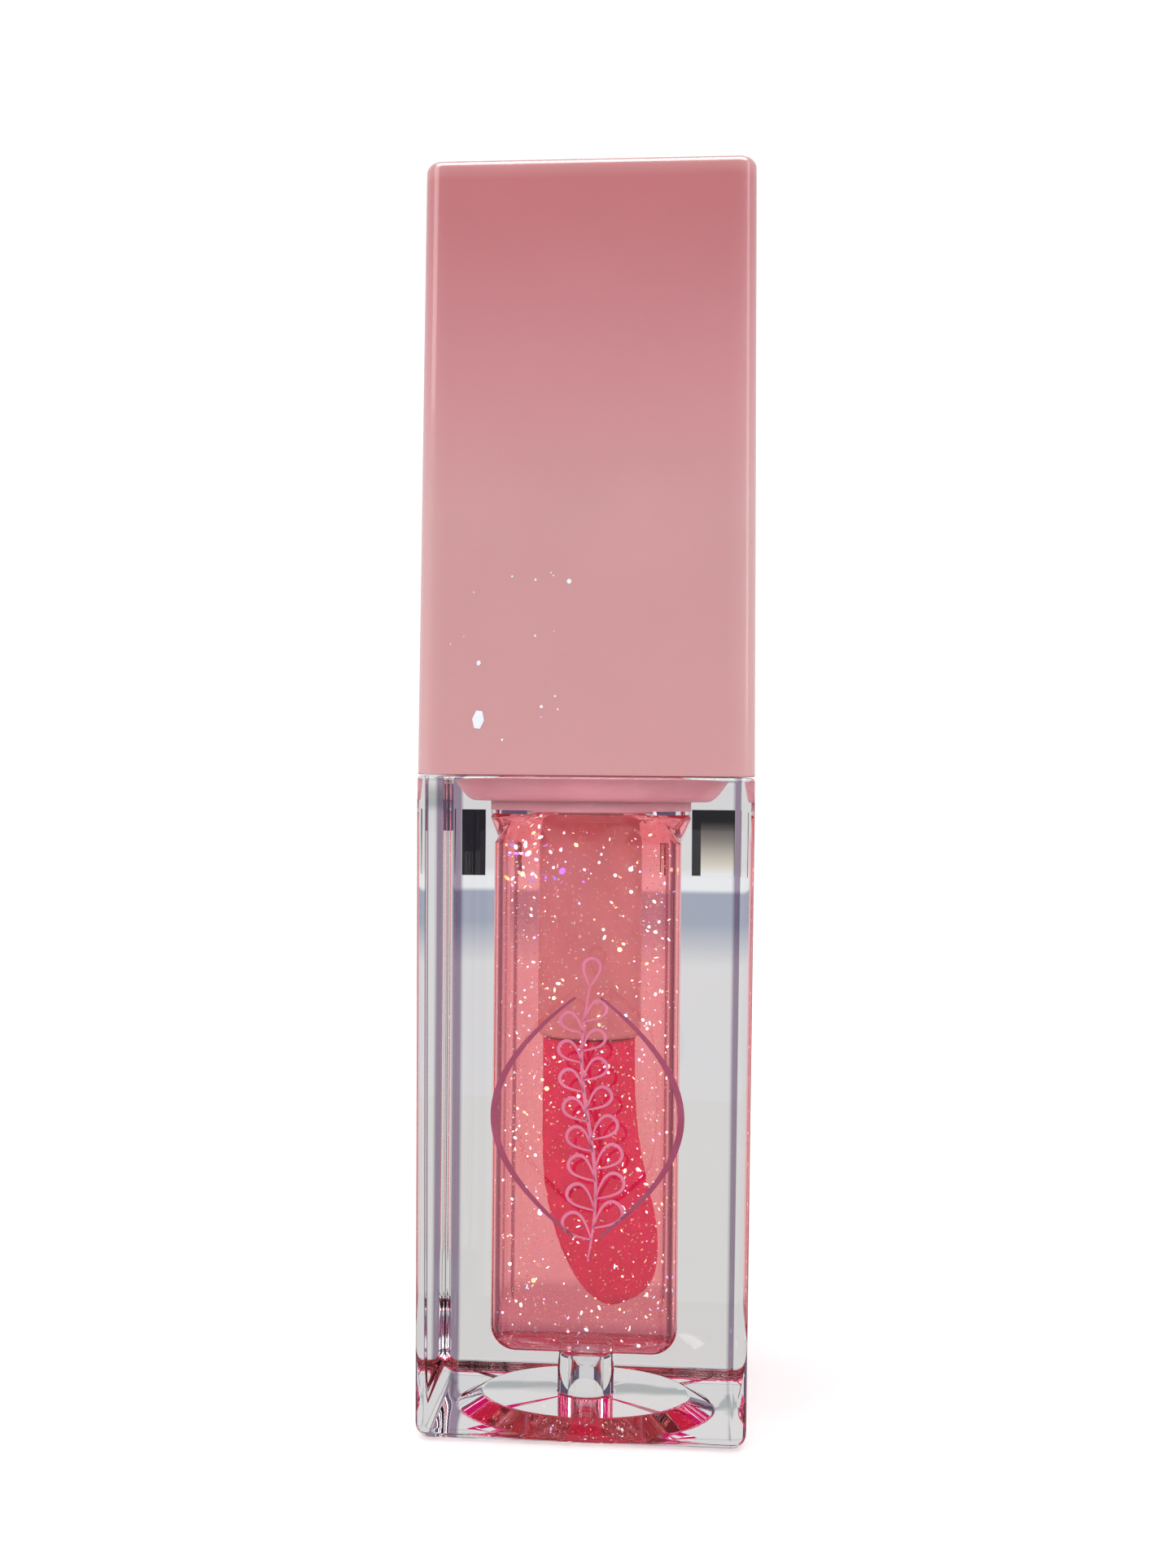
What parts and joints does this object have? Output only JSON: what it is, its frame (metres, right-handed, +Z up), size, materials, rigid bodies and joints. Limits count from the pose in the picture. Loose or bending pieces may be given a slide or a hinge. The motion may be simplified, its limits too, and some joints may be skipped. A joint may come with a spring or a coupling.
{
  "type": "lip gloss tube",
  "caption": "Square clear bottle of lip gloss with a tall square screw cap that carries a flocked paddle applicator on a stem.",
  "frame": {"origin": "middle of the base, on the surface that the tube stands on", "axes": "+Z up along the tube from base to cap, -Y out of the printed front face, +X to the right seen from the front"},
  "size_m": [0.0204, 0.0204, 0.0773],
  "materials": {
    "clear_plastic": "polished clear plastic",
    "wiper_plastic": "soft pink polyethylene",
    "gloss_fill": "thick shimmering pink gel",
    "seal_foam": "fine closed foam",
    "stem_plastic": "smooth translucent plastic",
    "applicator_plastic": "soft moulded plastic",
    "flock": "short flocked fibre",
    "inner_cap_plastic": "moulded satin plastic",
    "cap_plastic": "polished milky pink plastic"
  },
  "bodies": {
    "bottle": {"bottle": "clear_plastic", "wiper": "wiper_plastic", "gloss": "gloss_fill"},
    "washer": {"seal_washer": "seal_foam"},
    "stem": {"wand_stem": "stem_plastic"},
    "cap": {"outer_cap": "cap_plastic", "inner_cap": "inner_cap_plastic", "applicator_core": "applicator_plastic", "applicator_flock": "flock"}
  },
  "joints": [
    {"name": "wand_pull", "type": "slide", "parent": "bottle", "child": "washer", "axis": [0, 0, 1], "range_m": [0, 0.06], "deforming": ["wiper", "gloss"]},
    {"name": "cap_rise", "type": "slide", "parent": "washer", "child": "stem", "axis": [0, 0, 1], "range_m": [0, 0.0032]},
    {"name": "cap_turn", "type": "hinge", "parent": "stem", "child": "cap", "pos_m": [0, 0, 0.05], "axis": [0, 0, 1], "range_deg": [0, 400]}
  ],
  "couplings": [
    {"joint": "cap_rise", "follows": "cap_turn", "m_per_rad": 0.00044563}
  ]
}
